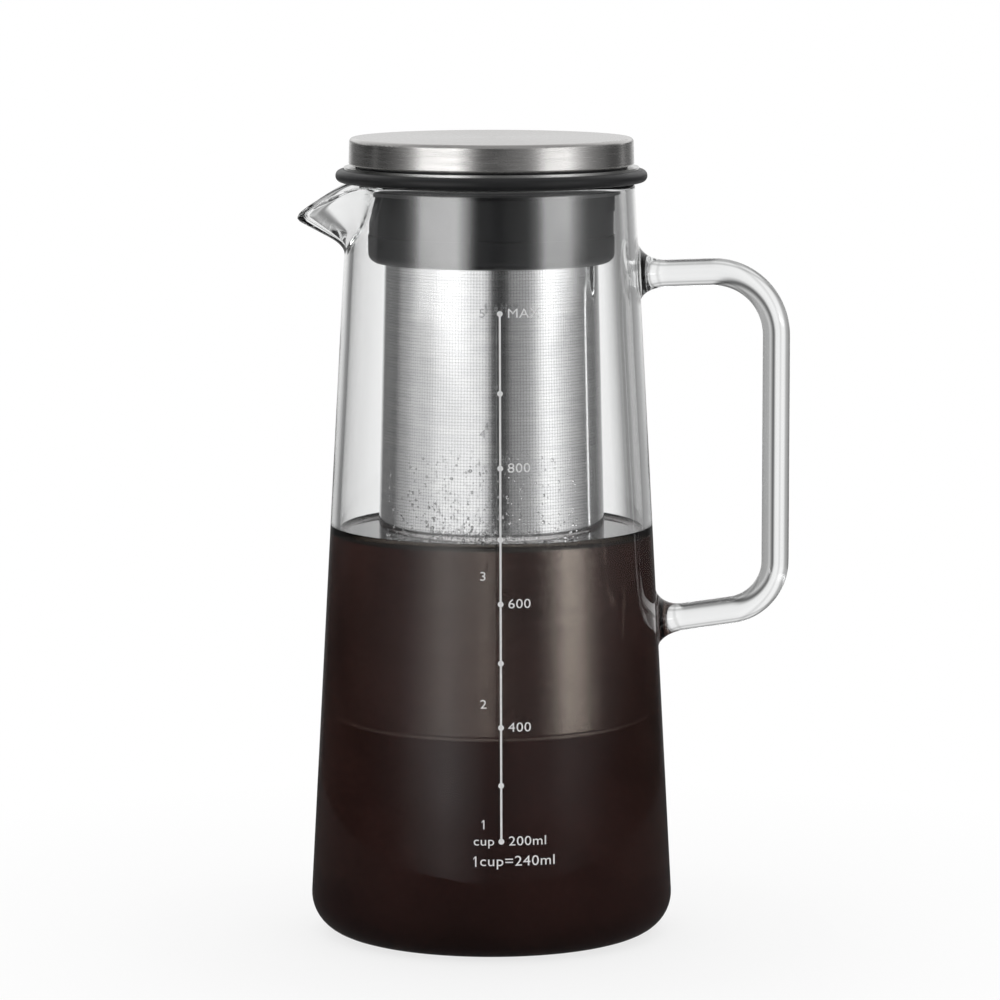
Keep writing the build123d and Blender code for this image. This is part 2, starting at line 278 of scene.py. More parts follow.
ABOVE = [
    (-180, 1.0), (-145, 1.0), (-122, 0.25), (-98, 0.12), (-82, 0.35), (-66, 0.8), (-24, 0.8),
    (-10, 0.15), (8, 0.15), (30, 0.40), (46, 0.8), (74, 0.8), (92, 0.25), (118, 0.12),
    (138, 0.90), (180, 1.0),
]
SKY = [(-180, 0.95), (-130, 0.80), (-100, 0.45), (100, 0.45), (130, 0.80), (180, 0.95)]
THROUGH = [
    (-180, 1.00), (-166, 0.95), (-158, 0.60), (-151, 0.20), (-118, 0.16), (-108, 0.40),
    (-98, 0.48), (-88, 0.66), (-72, 0.74), (-65, 0.82), (-57, 1.02), (-50, 1.06), (-37, 1.08),
    (-28, 1.16), (-18, 1.18), (-10, 1.10), (-4, 0.72), (1, 0.12), (9, 0.05), (15, 0.09),
    (21, 0.30), (38, 0.44), (45, 0.62), (52, 1.05), (59, 1.26), (67, 1.24), (74, 1.04),
    (90, 0.58), (109, 0.26), (135, 0.14), (163, 0.55), (174, 1.00),
]
DRINK = [
    (-180, 0.10), (-114, 0.02), (-78, 0.02), (-62, 0.09), (-46, 0.19), (-33, 0.18), (-24, 0.20),
    (-15, 0.24), (-5, 0.36), (2, 0.26), (12, 0.06), (30, 0.02), (43, 0.05), (54, 0.24), (64, 0.68),
    (74, 1.25), (87, 1.10), (99, 0.46), (111, 0.15), (123, 0.05), (180, 0.10),
]
BEHIND = [
    (-180, 1.0), (-166, 0.95), (-158, 0.66), (-151, 0.30), (-128, 0.25), (-114, 0.40),
    (-102, 1.00), (-66, 1.00), (-52, 0.45), (-30, 0.45), (-16, 1.00), (66, 1.00), (80, 0.45),
    (100, 0.20), (112, 0.15), (120, 0.20), (138, 0.26), (150, 0.34), (163, 0.62), (168, 0.28),
    (171, 0.28), (174, 1.0),
]
ROD = [
    (-180, 0.92), (-176, 0.96), (-171, 0.74), (-167, 0.95), (-158, 0.92), (-154, 0.70),
    (-149, 0.46), (-137, 0.36), (-128, 0.30), (-118, 0.35), (-108, 0.60), (-96, 0.95),
    (-60, 0.95), (-45, 0.50), (-2, 0.45), (12, 0.60), (28, 0.95), (76, 0.95), (92, 0.55),
    (113, 0.50), (124, 0.40), (153, 0.40), (158, 0.53), (161, 0.58), (165, 0.33), (168, 0.14),
    (171, 0.14), (173, 0.45), (176, 0.88), (180, 0.92),
]
FEET = [
    (-180, 1.0), (-166, 0.90), (-150, 0.25), (-113, 0.02), (-90, 0.08), (-66, 0.25),
    (-51, 0.62), (-40, 0.90), (-30, 1.15), (-16, 0.62), (-3, 0.22), (12, 0.20), (25, 0.24),
    (37, 0.30), (51, 0.58), (66, 0.54), (83, 0.34), (100, 0.18), (113, 0.12), (150, 0.25),
    (166, 0.90), (180, 1.0),
]
BRIGHTEST = 1.3  # of all the lists

# Heights here are degrees above level, each list with its shares
GLARE = 5.6  # the softboxes' own brightness, which polished glass shows
GLARE_SHARP = 3.0
GLARE_BAND = ((0.2, 0.9, 5.0, 9.0), (0.0, 1.0, 1.0, 0.0))  # above what the filter mirrors
ABOVE_BAND = ((3.0, 9.0), (0.0, 1.0))  # ABOVE takes over from LEVEL
BOX_FOOT = ((-1.6, -0.6), (0.0, 1.0))  # the softboxes' lower edge
BOX_TOP = ((16.0, 24.0), (0.0, 1.0))
SKY_TOP = ((50.0, 70.0), (0.0, 1.0))
FLOOR_LINE = ((-12.5, -9.5), (0.0, 1.0))  # under this the studio is its floor
FEET_FADE = ((-7.0, -5.6, -3.9), (0.10, 0.22, 1.0))
ROD_FADE = (
    (-60, -46, -38, -30, -24, -10, 8, 18, 25, 33, 42, 60),
    (0.36, 0.50, 0.92, 0.60, 0.95, 1.0, 1.0, 0.95, 0.60, 0.92, 0.50, 0.36),
)
FLOOR_TONE = 0.27  # the floor's brightness away from the softboxes
FLOOR_GLOW = 0.42  # and how much brighter it is in front of them
CEILING = 0.45
DRINK_GLARE = 3.0  # times as bright as DRINK says, because the coffee swallows most of it
DRINK_DIM = 0.35  # share of the floor and the ceiling that metal in the coffee mirrors
ECHO_TURN = 140.0  # light sent back inside the wall leaves within this turn from the camera

# A ray counts what it meets
ONE_PIECE = 2.5  # through fewer surfaces than this, it has met one piece of glass at most
INTO_DRINK = 4.5  # through more, it is in the drink
OFF_METAL = 0.5  # mirrored more often than this, it comes off metal


class Studio:
    """The studio's brightness, by the turn and the height of what a ray finds."""

    def __init__(self, n):
        self.n = n
        ray = n.add("TexCoord").outputs["Generated"]
        x, y, z = n.split(n.add("VectorRotate", rotation_type="Z_AXIS", Vector=ray,
                                Angle=radians(CAMERA_TURN)))
        self.turn = n.math("ARCTAN2", x, n.times(y, -1.0))
        self.round = n.span(self.turn, -pi, pi, 0.0, 1.0)
        self.rise = n.span(n.math("ARCSINE", z), -pi / 2, pi / 2, 0.0, 1.0)
        self.path = n.add("LightPath").outputs
        self.off_metal = n.math("GREATER_THAN", self.path["Glossy Depth"], OFF_METAL)
        self.level = self.by_turn(LEVEL)
        self.ground = n.math("MULTIPLY_ADD", self.level, FLOOR_GLOW, FLOOR_TONE)
        self.over_floor, self.over_sky = self.by_height(FLOOR_LINE), self.by_height(SKY_TOP)

    def by_turn(self, stops):
        """The brightness that one of the lists gives."""
        shares = [((turn + 180) / 360, tone / BRIGHTEST) for turn, tone in stops]
        return self.n.times(BRIGHTEST, self.n.ramp(self.round, shares))

    def by_height(self, band):
        """The share that heights and their shares give."""
        return self.n.ramp(self.rise, [((angle + 90) / 180, share) for angle, share in zip(*band)])

    def mirrored(self):
        """What outer surfaces mirror: floor, softboxes with their feet, sky and ceiling."""
        n = self.n
        glare = n.times(n.math("POWER", self.level, GLARE_SHARP), GLARE)
        boxes = n.blend(self.by_height(GLARE_BAND), self.level, glare)
        boxes = n.blend(self.by_height(ABOVE_BAND), boxes, self.by_turn(ABOVE))
        feet = n.times(self.by_turn(FEET), self.by_height(FEET_FADE))
        below = n.blend(self.over_floor, self.ground, feet)
        seen = n.blend(self.by_height(BOX_FOOT), below, boxes)
        seen = n.blend(self.by_height(BOX_TOP), seen, self.by_turn(SKY))
        return n.blend(self.over_sky, seen, grey(CEILING))

    def behind(self):
        """What shows through glass: the wall behind, or what metal inside the glass mirrors."""
        n, off_metal = self.n, self.off_metal
        in_drink = n.math("GREATER_THAN", self.path["Transmission Depth"], INTO_DRINK)
        drink = n.times(self.by_turn(DRINK), DRINK_GLARE)
        metal = n.blend(in_drink, self.by_turn(THROUGH), drink)
        dim = n.span(n.times(in_drink, off_metal), 0.0, 1.0, 1.0, DRINK_DIM)
        floor = n.blend(off_metal, WHITE, n.times(self.ground, dim))
        seen = n.blend(self.over_floor, floor, n.blend(off_metal, self.by_turn(BEHIND), metal))
        seen = n.blend(self.over_sky, seen, n.times(CEILING, dim))
        rod = n.times(self.by_turn(ROD), self.by_height(ROD_FADE))
        return n.blend(through_one_piece(n, self.path), seen, rod)

    def passed(self):
        """Whether a ray came through glass, and wasn't sent back to the front inside it."""
        n = self.n
        once = n.math("LESS_THAN", self.path["Transmission Depth"], ONE_PIECE)
        forward = n.math("LESS_THAN", n.math("ABSOLUTE", self.turn), radians(ECHO_TURN))
        sent_back = n.times(self.off_metal, once, forward)
        return n.math("SUBTRACT", self.path["Is Transmission Ray"], sent_back)


def through_one_piece(n, path):
    """Whether a ray has met no more than one piece of glass, and mirrored nowhere."""
    once = n.math("LESS_THAN", path["Transmission Depth"], ONE_PIECE)
    return n.times(once, n.math("LESS_THAN", path["Glossy Depth"], OFF_METAL))


def make_world():
    """White to the camera. To everything else a studio: softboxes left and right, dark between."""
    world = bpy.data.worlds.new("studio")
    bpy.context.scene.world = world
    world.use_nodes = True
    n = Nodes(world.node_tree)
    studio = Studio(n)
    tone = n.blend(studio.passed(), studio.mirrored(), studio.behind())
    seen = n.add("Background", Color=WHITE, Strength=1.0)
    lit = n.add("Background", Color=tone, Strength=1.0)
    n.add("OutputWorld", Surface=n.shaders(studio.path["Is Camera Ray"], lit, seen))


LAMP_HEIGHT = 1.7  # metres
LAMP_BACK = 0.15
LAMP_SIZE = 1.3
LAMP_POWER = 14.0


def make_lamp():
    """One large soft lamp overhead, a little behind, for the floor's shadow."""
    lamp = bpy.data.objects.new("overhead", bpy.data.lights.new("overhead", "AREA"))
    bpy.context.scene.collection.objects.link(lamp)
    lamp.data.shape = "DISK"
    lamp.data.size = LAMP_SIZE
    lamp.data.energy = LAMP_POWER
    lamp.location = (0.0, LAMP_BACK, LAMP_HEIGHT)
    lamp.visible_camera = False
    lamp.visible_glossy = False


FLOOR_RADIUS = 0.30  # metres
FLOOR_SIDES = 96
FLOOR_DROP = 0.0002  # under the carafe's foot
FLOOR_NEAR = 0.09
FLOOR_FAR = 0.24
FLOOR_PAPER = 0.9
FLOOR_WHITE = 0.75  # share of pure white close to the object
FLOOR_MIRRORED = 0.05  # brightness that glossy surfaces see


def floor_material():
    """Paper that takes the soft shadow near the object and is pure white beyond.

    Mirrors see it dark. The handle's rod and the beak look through it into the studio.
    """
    material, n = new_material("floor_white")
    path = n.add("LightPath").outputs
    _, out, _ = n.cylinder()
    far = n.span(out, FLOOR_NEAR, FLOOR_FAR, FLOOR_WHITE, 1.0)
    seen = n.math("MAXIMUM", path["Is Camera Ray"], path["Is Transmission Ray"])
    paper = n.add("BsdfDiffuse", Color=grey(FLOOR_PAPER))
    white = n.add("Emission", Color=WHITE, Strength=1.0)
    dark = n.add("Emission", Color=WHITE, Strength=FLOOR_MIRRORED)
    surface = n.shaders(n.times(far, seen), paper, white)
    one_piece = n.times(path["Is Transmission Ray"], through_one_piece(n, path))
    surface = n.shaders(one_piece, surface, n.add("BsdfTransparent", Color=WHITE))
    mirrored = n.math("SUBTRACT", path["Is Glossy Ray"], path["Is Transmission Ray"])
    n.add("OutputMaterial", Surface=n.shaders(mirrored, surface, dark))
    return material


def make_floor():
    """A round floor under the object."""
    mesh = bpy.data.meshes.new("floor")
    edge = [(FLOOR_RADIUS * cos(t), FLOOR_RADIUS * sin(t), 0) for t in circle(FLOOR_SIDES)]
    mesh.from_pydata(edge, [], [tuple(range(FLOOR_SIDES))])
    mesh.materials.append(floor_material())
    floor = bpy.data.objects.new("floor", mesh)
    bpy.context.scene.collection.objects.link(floor)
    floor.location.z = -FLOOR_DROP


# ---------------------------------------------------------------- materials


def clear_surface(n, ior, ripple_scale, ripple_depth):
    """A surface that bends and mirrors light, with a slow ripple."""
    ripple = n.noise(n.place(), ripple_scale, 1.0)
    return n.add("BsdfPrincipled", Base_Color=WHITE, Roughness=0.0, IOR=ior,
                 Transmission_Weight=1.0, Normal=n.bump(ripple, 1.0, ripple_depth))


def bent_only(n, ior):
    """A surface that bends light and mirrors none."""
    return n.add("BsdfRefraction", Color=WHITE, Roughness=0.0, IOR=ior)


def finish_clear(n, surface, tint, **body):
    """A clear material's output. Lamps shine through it, so that what is inside is lit."""
    lamps = n.add("BsdfTransparent", Color=tint)
    for_lamps = n.add("LightPath").outputs["Is Shadow Ray"]
    n.add("OutputMaterial", Surface=n.shaders(for_lamps, surface, lamps), **body)


def outward(n):
    """Outputs: how far a surface's own outside faces away from the axis, and how far up."""
    geometry = n.add("NewGeometry").outputs
    x, y, _ = n.split(n.place())
    flat = n.vector("NORMALIZE", n.join(x, y, 0.0))["Vector"]
    away = n.vector("DOT_PRODUCT", geometry["Normal"], flat)["Value"]
    up = n.split(geometry["Normal"])["Z"]
    side = n.span(geometry["Backfacing"], 0.0, 1.0, 1.0, -1.0)
    return n.times(away, side), n.times(up, side)


GLASS_IOR = 1.47
GLASS_TINT = (0.96, 0.97, 0.97, 1)
GLASS_BODY = (0.75, 0.80, 0.79, 1)
GLASS_DENSITY = 14.0
GLASS_RIPPLE = (38.0, 0.00006)  # scale, and depth in metres


def glass_material():
    """Borosilicate glass with the slow ripple of a blown wall and a faint grey body.

    Its inside mirrors nothing where coffee wets it, because the two bend light almost alike.
    """
    material, n = new_material("glass")
    clear = clear_surface(n, GLASS_IOR, *GLASS_RIPPLE)
    away, up = outward(n)
    inner = n.math("GREATER_THAN", up, away)
    _, out, height = n.cylinder()
    middle = n.math("MULTIPLY_ADD", height, -TAPER, (FOOT_RADIUS - WALL / 2) * MM)
    inside = n.math("LESS_THAN", out, middle)
    low = n.math("LESS_THAN", height, (COFFEE_LEVEL + MENISCUS_RISE) * MM)
    surface = n.shaders(n.times(inner, inside, low), clear, bent_only(n, GLASS_IOR))
    body = n.add("VolumeAbsorption", Color=GLASS_BODY, Density=GLASS_DENSITY)
    finish_clear(n, surface, GLASS_TINT, Volume=body)
    return material


COFFEE_IOR = 1.33
COFFEE_TINT = (0.9, 0.9, 0.9, 1)
COFFEE_BODY = (0.24, 0.19, 0.14, 1)
COFFEE_DENSITY = 112.0
COFFEE_RIPPLE = (60.0, 0.00003)
COFFEE_TOP = 0.12  # what faces up more than this is the drink's top
GROUNDS = (0.20, 0.085, 0.075, 1)  # the colour of what floats in the drink, at its edge
GROUNDS_SHARE = 0.12  # on average
GROUNDS_LESS, GROUNDS_MORE = 0.7, 1.3  # times that, from place to place
GROUNDS_AT_FOOT = ((4.0, 0.8), (32.0, 1.0))  # heights, and the share of them there


def coffee_material():
    """Dark coffee: light dies within a few centimetres of it, red last. Its top mirrors."""
    material, n = new_material("coffee")
    clear = clear_surface(n, COFFEE_IOR, *COFFEE_RIPPLE)
    cloud = n.noise(n.place(), 26.0, 3.0, 0.6)
    share = n.vary(cloud, GROUNDS_LESS * GROUNDS_SHARE, GROUNDS_MORE * GROUNDS_SHARE)
    _, _, height = n.cylinder()
    (low, share_low), (high, share_high) = GROUNDS_AT_FOOT
    share = n.times(share, n.span(height, low * MM, high * MM, share_low, share_high))
    facing = n.math("SUBTRACT", 1.0, n.add("NewGeometry").outputs["Backfacing"])
    grounds = n.add("BsdfDiffuse", Color=GROUNDS)
    side = n.shaders(n.times(share, facing), bent_only(n, COFFEE_IOR), grounds)
    _, up = outward(n)
    surface = n.shaders(n.math("GREATER_THAN", up, COFFEE_TOP), side, clear)
    body = n.add("VolumeAbsorption", Color=COFFEE_BODY, Density=COFFEE_DENSITY)
    finish_clear(n, surface, COFFEE_TINT, Volume=body)
    return material


WATER_IOR = 1.33
WATER_TINT = (0.97, 0.97, 0.97, 1)
WATER_RIPPLE = (900.0, 0.00001)


def water_material():
    """Clear droplets."""
    material, n = new_material("water")
    finish_clear(n, clear_surface(n, WATER_IOR, *WATER_RIPPLE), WATER_TINT)
    return material


def streaks(n, along, out_scale, height_scale):
    """Noise drawn out round the axis, as brushing or spinning leaves it."""
    turn, out, height = n.cylinder()
    place = n.join(n.times(turn, along), n.times(out, out_scale), n.times(height, height_scale))
    return n.noise(place, 1.0, 4.0, 0.65)


def steel(n, tone, rough, bump, **settings):
    """Bare metal as the material's whole surface."""
    n.add("OutputMaterial", Surface=n.add(
        "BsdfPrincipled", Base_Color=tone, Metallic=1.0, Roughness=rough, Normal=bump, **settings))


def brushed_steel_material():
    """The cap: brushed round its side and its top, as it turns under the brush."""
    material, n = new_material("brushed_steel")
    fine = streaks(n, 5.0, 5200.0, 5200.0)
    broad = streaks(n, 1.6, 700.0, 900.0)
    tone = n.shade(fine, (0.50, 0.49, 0.48), (0.62, 0.61, 0.60))
    rough = n.math("ADD", n.vary(fine, 0.20, 0.28), n.vary(broad, -0.02, 0.04))
    way = n.add("Tangent", direction_type="RADIAL", axis="Z")
    steel(n, tone, rough, n.bump(fine, 0.3, 0.00001), Anisotropic=0.7,
          Anisotropic_Rotation=0.25, Tangent=way)
    return material


def polished_steel_material():
    """Spun sheet, lightly polished, with faint rings from the spinning."""
    material, n = new_material("polished_steel")
    rings = streaks(n, 2.0, 2600.0, 2600.0)
    tone = n.shade(rings, (0.60, 0.60, 0.59), (0.70, 0.70, 0.69))
    steel(n, tone, n.vary(rings, 0.13, 0.20), n.bump(rings, 0.4, 0.00001))
    return material


HOLE_PITCH = 0.85
HOLES_ROUND = 226
HOLE_EDGES = (0.25, 0.95)  # of the waves that draw them: a hole begins, and is fully open
HOLE_LINE_SHADE = 0.17  # painted shade in the bands that join two holes: how dark they are
HOLE_MIDDLE_SHADE = 0.15  # and how much darker a hole's middle is: painted shade for the dim inside seen through it
HOLE_SHADE_FILLED = 0.7  # how much of the holes' painted shade shows where the drink fills them
FILLED_FADE = 1.0  # above and below the drink's level


def steel_mesh_material():
    """Sheet etched with rows of micro-holes, drawn as dents with painted shade in them for the dim
    inside seen through them.
    """
    material, n = new_material("steel_mesh")
    turn, _, height = n.cylinder()
    filled = n.span(height, (COFFEE_LEVEL - FILLED_FADE) * MM, (COFFEE_LEVEL + FILLED_FADE) * MM,
                    HOLE_SHADE_FILLED, 1.0)
    across = n.math("COSINE", n.times(turn, float(HOLES_ROUND)))
    up = n.math("COSINE", n.times(height, 2 * pi / (HOLE_PITCH * MM)))
    column, row = (n.span(wave, *HOLE_EDGES, 0.0, 1.0) for wave in (across, up))
    lines = n.times(HOLE_LINE_SHADE, n.math("ADD", column, row))
    hole = n.times(n.math("MULTIPLY_ADD", n.times(column, row), HOLE_MIDDLE_SHADE, lines), filled)
    grain = streaks(n, 3.0, 900.0, 500.0)
    sheet = n.shade(grain, (0.71, 0.71, 0.72), (0.80, 0.80, 0.80))
    # Painted shade: the holes and the bands joining them are darkened toward a dark grey, standing
    # for the dim inside seen through them
    tone = n.blend(hole, sheet, grey(0.16))
    steel(n, tone, n.vary(grain, 0.09, 0.13), n.bump(hole, 0.3, 0.00001, invert=True))
    return material


def silicone_material():
    """Black silicone with a satin skin."""
    material, n = new_material("silicone")
    cloud, grain = n.noise(n.place(), 90.0, 3.0), n.noise(n.place(), 4200.0, 1.0)
    tone = n.shade(cloud, (0.008, 0.008, 0.009), (0.013, 0.013, 0.014))
    rubber = n.add("BsdfPrincipled", Base_Color=tone, Roughness=n.vary(cloud, 0.38, 0.50),
                   IOR=1.45, Normal=n.bump(grain, 0.3, 0.000006))
    n.add("OutputMaterial", Surface=rubber)
    return material


def plug_plastic_material():
    """Black moulded plastic with a fine spark-eroded grain."""
    material, n = new_material("plug_plastic")
    grain = n.add("TexVoronoi", Vector=n.place(), Scale=2600.0).outputs["Distance"]
    cloud = n.noise(n.place(), 120.0, 2.0)
    tone = n.shade(cloud, (0.024, 0.024, 0.026), (0.036, 0.036, 0.038))
    plastic = n.add("BsdfPrincipled", Base_Color=tone, Roughness=n.vary(cloud, 0.42, 0.55),
                    Normal=n.bump(grain, 0.4, 0.00002))
    n.add("OutputMaterial", Surface=plastic)
    return material


# The cups' marks above the drink's level are given this darker grey
GREYER_CUPS_PRINT = (0.52, 0.52, 0.53, 1)
GREYER_CUPS_SIDE = 2.0  # degrees from the line, towards the cups


def enamel_material():
    """White fired print, a little uneven in its cover, and a darker grey in the cups' marks above
    the drink's level.
    """
    material, n = new_material("enamel_print")
    tone = n.shade(n.noise(n.place(), 1500.0, 2.0), (0.80, 0.80, 0.80), (0.92, 0.92, 0.92))
    turn, _, height = n.cylinder()
    cups = n.math("LESS_THAN", turn, radians(SCALE_TURN - GREYER_CUPS_SIDE))
    # The cups' marks above the drink's level, which take the darker grey
    thin = n.times(cups, n.math("GREATER_THAN", height, COFFEE_LEVEL * MM))
    ink = n.add("BsdfPrincipled", Base_Color=n.blend(thin, tone, GREYER_CUPS_PRINT), Roughness=0.45)
    n.add("OutputMaterial", Surface=ink)
    return material


# ---------------------------------------------------------------- meshes


def mesh_piece(name, points, faces, material, smooth=True):
    """A mesh object from points in millimetres."""
    mesh = bpy.data.meshes.new(name)
    mesh.from_pydata([tuple(c * MM for c in point) for point in points], [], faces)
    shape = bmesh.new()
    shape.from_mesh(mesh)
    bmesh.ops.recalc_face_normals(shape, faces=shape.faces)
    shape.to_mesh(mesh)
    shape.free()
    mesh.materials.append(material)
    mesh.polygons.foreach_set("use_smooth", [smooth] * len(mesh.polygons))
    mesh.update()
    piece = bpy.data.objects.new(name, mesh)
    bpy.context.scene.collection.objects.link(piece)
    return piece


def spread(first, last, count):
    """Evenly spaced numbers from the first to the last."""
    return [first + (last - first) * step / (count - 1) for step in range(count)]


def circle(count):
    """Evenly spaced turns of a whole circle, in radians."""
    return [2 * pi * step / count for step in range(count)]


def merged(shapes):
    """Points and faces of several shapes as one."""
    points, faces = [], []
    for its_points, its_faces in shapes:
        start = len(points)
        points += its_points
        faces += [tuple(start + index for index in face) for face in its_faces]
    return points, faces


def column(section, turn):
    """A half section's points, turned to a place round the axis from the beak."""
    return [(-r * cos(turn), r * sin(turn), z) for r, z in section]


def skin(columns):
    """Points and faces of a closed body from its columns, each a list of points of one length.

    The first and last points of all the columns are the same two points on the axis.
    """
    rows = len(columns[0]) - 2
    points = [columns[0][0]]
    for side in columns:
        points += side[1:-1]
    points.append(columns[0][-1])
    last = len(points) - 1
    faces = []
    for number in range(len(columns)):
        here = 1 + number * rows
        there = 1 + (number + 1) % len(columns) * rows
        faces.append((0, there, here))
        for row in range(rows - 1):
            faces.append((here + row, there + row, there + row + 1, here + row + 1))
        faces.append((here + rows - 1, there + rows - 1, last))
    return points, faces


def arc(centre_x, centre_z, radius, first, last, count):
    """Points of a round corner in a half section, from one angle to another."""
    turns = [radians(first + (last - first) * step / (count - 1)) for step in range(count)]
    return [(centre_x + radius * cos(t), centre_z + radius * sin(t)) for t in turns]


LEAN = atan(TAPER)

# Rows of points of the carafe's half section, from the middle of its foot over the rim to its well
FLAT_ROWS = 4
CORNER_ROWS = 14
WALL_ROWS = 110
NECK_ROWS = 36
RIM_ROWS = 12
INNER_NECK_ROWS = 32
INNER_WALL_ROWS = 24
INNER_CORNER_ROWS = 10


def wall_radius(height, inset=0.0):
    """The wall's radius at a height, outside or an inset from it."""
    return FOOT_RADIUS - inset - TAPER * height


def base_profile(floor, inset, corner, corner_rows):
    """Half section of the carafe's foot, from the axis out and up to the end of its corner."""
    centre_z = floor + corner
    centre_x = FOOT_RADIUS - inset - centre_z * tan(LEAN) - corner / cos(LEAN)
    flat = [(centre_x * step / FLAT_ROWS, floor) for step in range(FLAT_ROWS)]
    return flat + arc(centre_x, centre_z, corner, -90, degrees(LEAN), corner_rows)


def keel_reach(rise):
    """How far the beak's keel stands out of the wall above its root, eased in."""
    if rise <= -KEEL_EASE:
        return 0.0
    if rise < KEEL_EASE:
        return KEEL_RUN * (rise + KEEL_EASE) ** 2 / (4 * KEEL_EASE)
    return KEEL_RUN * rise


def neck_radius(turn, height, root, inset, tip):
    """Distance from the axis to the neck's surface, at a turn from the beak in radians."""
    radius = wall_radius(height, inset)
    reach = keel_reach(height - root)
    if reach <= 0:
        return radius
    share = max(0.0, height - BEAK_ROOT) / (HEIGHT - BEAK_ROOT)
    flank = FLANK_FOOT + (FLANK_RIM - FLANK_FOOT) * share
    if inset:
        flank *= INNER_FLANK
    tip_x = radius + reach - tip
    to_flank = radius + flank
    cosine = (to_flank**2 + tip_x**2 - (tip + flank) ** 2) / (2 * to_flank * tip_x)
    root_turn = acos(min(1.0, cosine))
    turn = abs(turn)
    if turn >= root_turn:
        return radius
    flank_x, flank_y = to_flank * cos(root_turn), to_flank * sin(root_turn)
    tip_turn = atan2(flank_y, flank_x - tip_x)
    tip_end = atan2(tip * sin(tip_turn), tip_x + tip * cos(tip_turn))
    if turn <= tip_end:
        return tip_x * cos(turn) + sqrt(tip**2 - (tip_x * sin(turn)) ** 2)
    off = turn - root_turn
    return to_flank * cos(off) - sqrt(flank**2 - (to_flank * sin(off)) ** 2)


def lip_height(x):
    """Height of the rim at a place along X: level, then rounded into the slope of the beak."""
    ahead = -x - LIP_START
    slope = radians(LIP_SLOPE)
    bend = LIP_ROUND * tan(slope / 2)
    if ahead <= -bend:
        return HEIGHT
    if ahead < -bend + LIP_ROUND * sin(slope):
        return HEIGHT - LIP_ROUND + sqrt(LIP_ROUND**2 - (ahead + bend) ** 2)
    return HEIGHT - ahead * tan(slope)


LIP_HALVINGS = 40


def lip_at(turn, root, inset, tip):
    """The height at which the neck's surface meets the rim, at a turn from the beak."""
    low, high = root - KEEL_EASE, HEIGHT
    for _ in range(LIP_HALVINGS):
        middle = (low + high) / 2
        x = -neck_radius(turn, middle, root, inset, tip) * cos(turn)
        if middle < lip_height(x):
            low = middle
        else:
            high = middle
    return (low + high) / 2


NECK_FOOT = 184.0
BEAK_TURN = 32.0  # columns lie closer within this angle of the beak
BEAK_STEP = 0.55
WALL_STEP = 1.6


def carafe_turns():
    """The columns' turns from the beak in radians, closer together round the beak."""
    near = spread(-BEAK_TURN, BEAK_TURN, int(2 * BEAK_TURN / BEAK_STEP) + 1)
    rest = 360 - 2 * BEAK_TURN
    count = int(rest / WALL_STEP)
    far = [BEAK_TURN + rest * step / count for step in range(1, count)]
    return [radians(turn) for turn in near + far]


def rim_crest(outer, inner_end):
    """The fire-polished rim, from the end of the outer wall over to that of the inner one."""
    (r0, z0), (r1, z1) = outer[-1], inner_end
    ahead = (Vector(outer[-1]) - Vector(outer[-2])).normalized()
    crest = []
    for step in range(1, RIM_ROWS):
        swing = pi * step / RIM_ROWS
        share = (1 - cos(swing)) / 2
        rise = ahead * (RIM_ROUND / ahead.y) * sin(swing)
        crest.append((r0 + (r1 - r0) * share + rise.x, z0 + (z1 - z0) * share + rise.y))
    return crest


def carafe_body(material):
    """The blown body: tapered wall, rounded foot, beak and fire-polished rim, as one skin."""
    foot = base_profile(0.0, 0.0, BASE_CORNER, CORNER_ROWS)
    well = base_profile(FLOOR, WALL, BASE_CORNER - WALL, INNER_CORNER_ROWS)
    outside, inside = (BEAK_ROOT, 0.0, BEAK_TIP), (INNER_ROOT, WALL, BEAK_TIP - BEAK_WALL)
    columns = []
    for turn in carafe_turns():
        outer_top, inner_top = (lip_at(turn, *side) - RIM_ROUND for side in (outside, inside))
        outer = [(wall_radius(z), z) for z in spread(foot[-1][1], NECK_FOOT, WALL_ROWS)[1:]]
        for z in spread(NECK_FOOT, outer_top, NECK_ROWS)[1:]:
            outer.append((neck_radius(turn, z, *outside), z))
        inner = []
        for z in spread(inner_top, NECK_FOOT, INNER_NECK_ROWS):
            inner.append((neck_radius(turn, z, *inside), z))
        for z in spread(NECK_FOOT, well[-1][1], INNER_WALL_ROWS)[1:-1]:
            inner.append((wall_radius(z, WALL), z))
        section = foot + outer + rim_crest(outer, inner[0]) + inner + well[::-1]
        columns.append(column(section, turn))
    return mesh_piece("carafe_glass", *skin(columns), material)


ROD_SPOKES = 56
ARM_ROWS = 24  # along each of its three straight lengths
BEND_ROWS = 25


def arm_height(weld, rise, x):
    """Height of an arm's middle line at a place along X."""
    return weld + (x - wall_radius(weld)) * tan(radians(rise))


